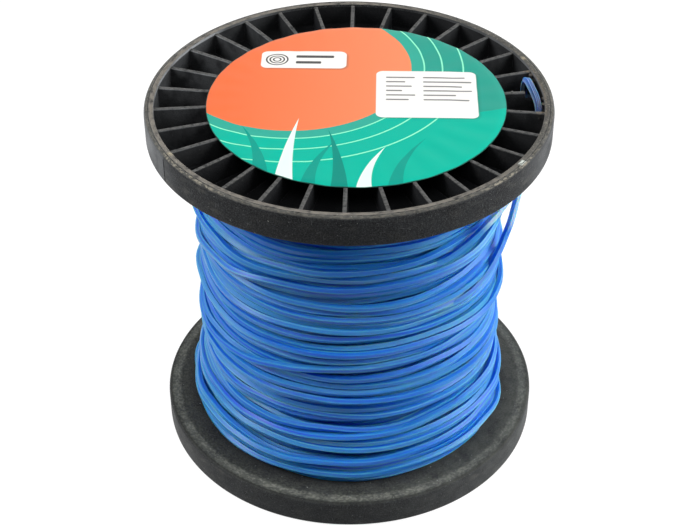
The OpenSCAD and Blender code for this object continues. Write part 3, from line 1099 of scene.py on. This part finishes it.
# %% Recycled plastic: spots and streaks
cloud = speckle(mm, 7.0, 0.35, 0.7, 4.0)
grain = speckle(mm, 0.45, 0.3, 0.75)
dust = speckle(around, (1.2, 2.6, 1.2), 0.2, 0.62, 4.0)
dust_film = speckle(around, (3.0, 5.0, 3.0), 0.0, 0.85, 6.0)
fine_dust = speckle(around, (0.7, 1.1, 0.7), 0.42, 0.66, 4.0)
# soft patches for the painted light on the rim's sides
painted_side_light = speckle(around, (4.0, 14.0, 5.0), 0.15, 0.7, 5.0)
scratch = speckle(around, (0.35, 2.0, 0.4), 0.64, 0.76, 3.0)
rub = times(edge, speckle(around, (1.0, 1.8, 1.0), 0.35, 0.6, 4.0))
print("patterns", len(tree.nodes), "nodes so far")

# %% Recycled plastic: wear on the rims and the rib tops
# The open rims, rib tops and upper faces carry dust and rubbing. On the right the band is
# rubbed darker, and fine pale specks on it are painted glints of its rough top.
colour = layered("121315", (
    ("242628", cloud),
    ("3c3d3e", grain, 0.6),
    ("626261", rib_top, dust, 0.9),
    ("817c74", rim_band, dust, 0.95),
    ("4a4a48", worn_band, 0.75),
    ("8b887e", worn_band, speckle(mm, 0.6, 0.52, 0.7, 4.0), 0.8),
    ("55544f", ridge, 0.5),
    ("a29c8d", ridge, speckle(around, (0.7, 1.3, 0.7), 0.44, 0.60, 5.0), knocked, 0.9),
    ("d2d9d2", gouge, speckle(around, (0.5, 0.9, 0.5), 0.36, 0.46, 3.0)),
))
# The parting marks: a dark line down the rim's side, paler to its left, with a spray of
# dusty beige on top.
for angle in PARTING_ANGLES:
    at = FLANGE_R * math.radians(angle + 90)
    colour = layered(colour, (
        ("66686a", between(arc, at - 4.5, at, 0.5), facing_out,
         between(height, SPOOL_H - 9, SPOOL_H, 0.3), 0.45),
        ("0a0b0c", between(arc, at - 0.1, at + 0.3, 0.12), facing_out,
         between(height, SPOOL_H - 9, SPOOL_H - 0.8, 0.3), 0.8),
        ("b3a992", between(arc, at - 0.9, at + 0.9, 0.7), rim_band,
         speckle(around, 0.5, 0.35, 0.6, 4.0)),
    ))
print("upper wear", len(tree.nodes), "nodes so far")

# %% Recycled plastic: dust below, rubbed sides and clean cells
colour = layered(colour, (
    # Melted plastic beside the holes is browner.
    ("7d7263", by_holes, speckle(mm, 0.8, 0.38, 0.6, 4.0), 0.8),
    # Dust lies on the lower flange's inner face, thicker towards its edge.
    ("555850", low_outer, dust_film, 0.65),
    ("7e8078", low_edge, dust_film, 0.4),
    ("9a9a90", low_edge, fine_dust, dust_film, 0.45),
    ("77786f", low_outer, fine_dust, 0.3),
    ("1e1f20", low_shoulder, 0.6),
    # The side is paler all round; on the right the face and the side are paler again in the
    # dust's pattern, which is painted light from the right-hand soft box.
    ("74766e", low_face, on_right, dust_film, 0.3),
    ("4a4c4c", low_side, dust_film, 0.4),
    ("5e6160", low_side, on_right, dust_film, 0.4),
    # The rim's sides are painted paler left and right than in front, in soft patches: painted
    # light from the two side soft boxes. Then grey patches where the rim was knocked.
    ("9a9da0", high_side, between(arc, -160, -74, 24), painted_side_light, 0.95),
    ("7a7c7e", high_side, between(arc, 74, 160, 24), painted_side_light, 0.85),
    ("65645f", facing_out, speckle(around, (3.0, 6.0, 2.5), 0.50, 0.78, 5.0), knocked, 0.55),
    # Rough skin, scratches along and across the rim, and pale specks.
    ("56585a", facing_out, speckle(mm, 0.32, 0.48, 0.72, 3.0), 0.5),
    ("666869", facing_out, scratch, 0.45),
    ("6a6c6d", facing_out, speckle(around, (0.5, 0.4, 2.2), 0.64, 0.76), 0.6),
    ("9b9c98", speckle(mm, 0.75, 0.765, 0.81, 1.0), 0.7),
    # The cells are painted plain dark: their clean black skin, with painted shade for these
    # recesses. Edges are rubbed pale.
    ("141517", cells_painted_dark, 0.85),
    ("85847d", rub, top_zone, 0.9),
    ("55565a", rub, 0.35),
))
rough = add("MapRange", {0: cloud, 3: 0.46, 4: 0.62})
rough = add("Math", [cells_painted_dark, 0.2, rough], operation="MULTIPLY_ADD", use_clamp=True)
pits = add("Bump", {"Height": grain, "Strength": 0.5, "Distance": 0.00008})
cuts = add("Bump", {"Height": scratch, "Normal": pits, "Strength": 0.5, "Distance": 0.0001},
           invert=True)
skin = add("BsdfPrincipled", {
    "Base Color": colour, "Roughness": rough, "Normal": cuts, "IOR": 1.49,
    "Specular IOR Level": 0.08})
dress(plastic, skin, upper, lower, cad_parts["drum"])

# %% [markdown]
# ## Label: printed film
#
# The label is polypropylene film, printed from behind in flat inks and glossy.
# Its print is a plain design of the builder's own: an orange field, teal swaths,
# thin pale arcs, two white panels with grey bars and rings, and blades of grass.
# It carries no lettering. Each motif is a mask drawn from distances in the
# label's plane, which stays sharp at any size, where a picture would not.

# %% Shapes for printing
film = new_material("printed polypropylene film, gloss")
plane = add("Mapping", {  # mm from the label's centre
    0: add("TexCoord").outputs["Object"], "Location": (-LABEL_AT[0], -LABEL_AT[1], 0),
    "Scale": (1000, 1000, 0)})


def from_point(point):
    """The place in the label's plane as seen from a point of it."""
    return add("VectorMath", [plane, (*point, 0)], operation="SUBTRACT")


def panel(left, middle, wide, tall, corner, soft=0.12):
    """A mask: a rounded rectangle, by its left edge and the height of its middle, in mm."""
    far = add("VectorMath", [from_point((left + wide / 2, middle))], operation="ABSOLUTE")
    half = (wide / 2 - corner, tall / 2 - corner, 0)
    past = add("VectorMath", [far, half], operation="SUBTRACT")
    outside = add("VectorMath", [past, (0, 0, 0)], operation="MAXIMUM")
    gap = add("VectorMath", [outside], operation="LENGTH").outputs["Value"]
    return between(gap, -1, corner, soft)


def disc(centre, outer, inner=-1, soft=0.12):
    """A mask: a disc, or a ring where inner is its inner radius."""
    far = add("VectorMath", [from_point(centre)], operation="LENGTH").outputs["Value"]
    return between(far, inner, outer, soft)


def blade(foot, tall, wide, lean):
    """A mask: a blade of grass that leans as it rises and narrows to a point."""
    x, y, _ = add("SeparateXYZ", [from_point(foot)]).outputs
    rise = times(y, 1 / tall)
    moved = add("Math", [times(rise, rise), -lean, x], operation="MULTIPLY_ADD")
    off = add("Math", [moved], operation="ABSOLUTE")
    room = add("Math", [rise, -wide / 2, wide / 2], operation="MULTIPLY_ADD")
    spare = add("Math", [room, off], operation="SUBTRACT")
    inside = add("MapRange", [spare, -0.08, 0.1], interpolation_type="SMOOTHSTEP")
    return times(inside, between(rise, 0, 1, 0.005))


print("printing shapes ready")

# %% Print the film
FIELD_AT, RINGS_AT = (-20, 20), (-25.5, 24.5)
PANELS = ((6, 4.5, 31, 27), (-30.5, 24.5, 27, 10.5))  # left, middle, width, height
BLADES = (  # foot, height, width, lean, ink
    ((-27, -40), 26, 5.0, -7, "0c9d8c"), ((-20, -43), 33, 5.5, 3, "e9fff6"),
    ((-13, -45), 24, 4.5, 8, "0c9d8c"), ((-4, -46), 30, 5.0, -4, "0a8f80"),
    ((3, -46), 21, 4.5, 6, "e9fff6"), ((12, -45), 25, 4.5, 9, "0c9d8c"))
BARS = tuple(zip((9, 6, 8, 5, 9, 7), (13, 15, 12, 15, 10, 14)))  # widths, row by row
across = add("SeparateXYZ", [plane]).outputs[0]
orange = tinted("f67646", "f99065", add("MapRange", [across, -40, 14]))
layers = [("2ba08e", disc((30, 34), 40)), ("35ac98", disc(FIELD_AT, 41)),
          (orange, disc(FIELD_AT, 37))]
layers += [("96ffd2", disc(FIELD_AT, r, r - 0.45)) for r in (41.3, 47.0, 53.5)]
layers += [(ink, blade(*shape)) for *shape, ink in BLADES]
for left, middle, wide, tall in PANELS:  # each with its soft shadow under it
    layers.append(("2b5f58", panel(left + 0.5, middle - 0.6, wide, tall, 2.4, 0.8), 0.45))
    layers.append(("fbf9f4", panel(left, middle, wide, tall, 2.2)))
for row, widths in enumerate(BARS):
    layers += [("6a6a6a", panel(left, 14.2 - 2.6 * row, wide, 0.75, 0.3), 0.9)
               for left, wide in zip((9.0, 20.5), widths)]
layers += [("4c4c4c", disc(RINGS_AT, r, r - 0.5)) for r in (3.6, 2.5, 1.4)]
layers += [("565656", panel(-19.5, middle, wide, 1.5, 0.4))
           for middle, wide in ((26.4, 12), (22.8, 8))]
# A dark ring at the film's cut edge: painted shade of the film's thickness.
layers.append(("2a5a50", disc((0, 0), 60, LABEL_R - 0.2, 0.1)))  # the film's cut edge
rough = add("MapRange", {0: speckle(plane, 9.0, 0.3, 0.7, 3.0), 3: 0.16, 4: 0.26})
ripple = speckle(plane, 16.0, 0.0, 1.0)
wave = add("Bump", {"Height": ripple, "Strength": 0.3, "Distance": 0.0004})
skin = add("BsdfPrincipled", {
    "Base Color": layered("08b89f", layers), "Roughness": rough, "Normal": wave, "IOR": 1.49,
    "Specular IOR Level": 0.09})
dress(film, skin, label)

# %% Finish
bpy.context.view_layer.update()
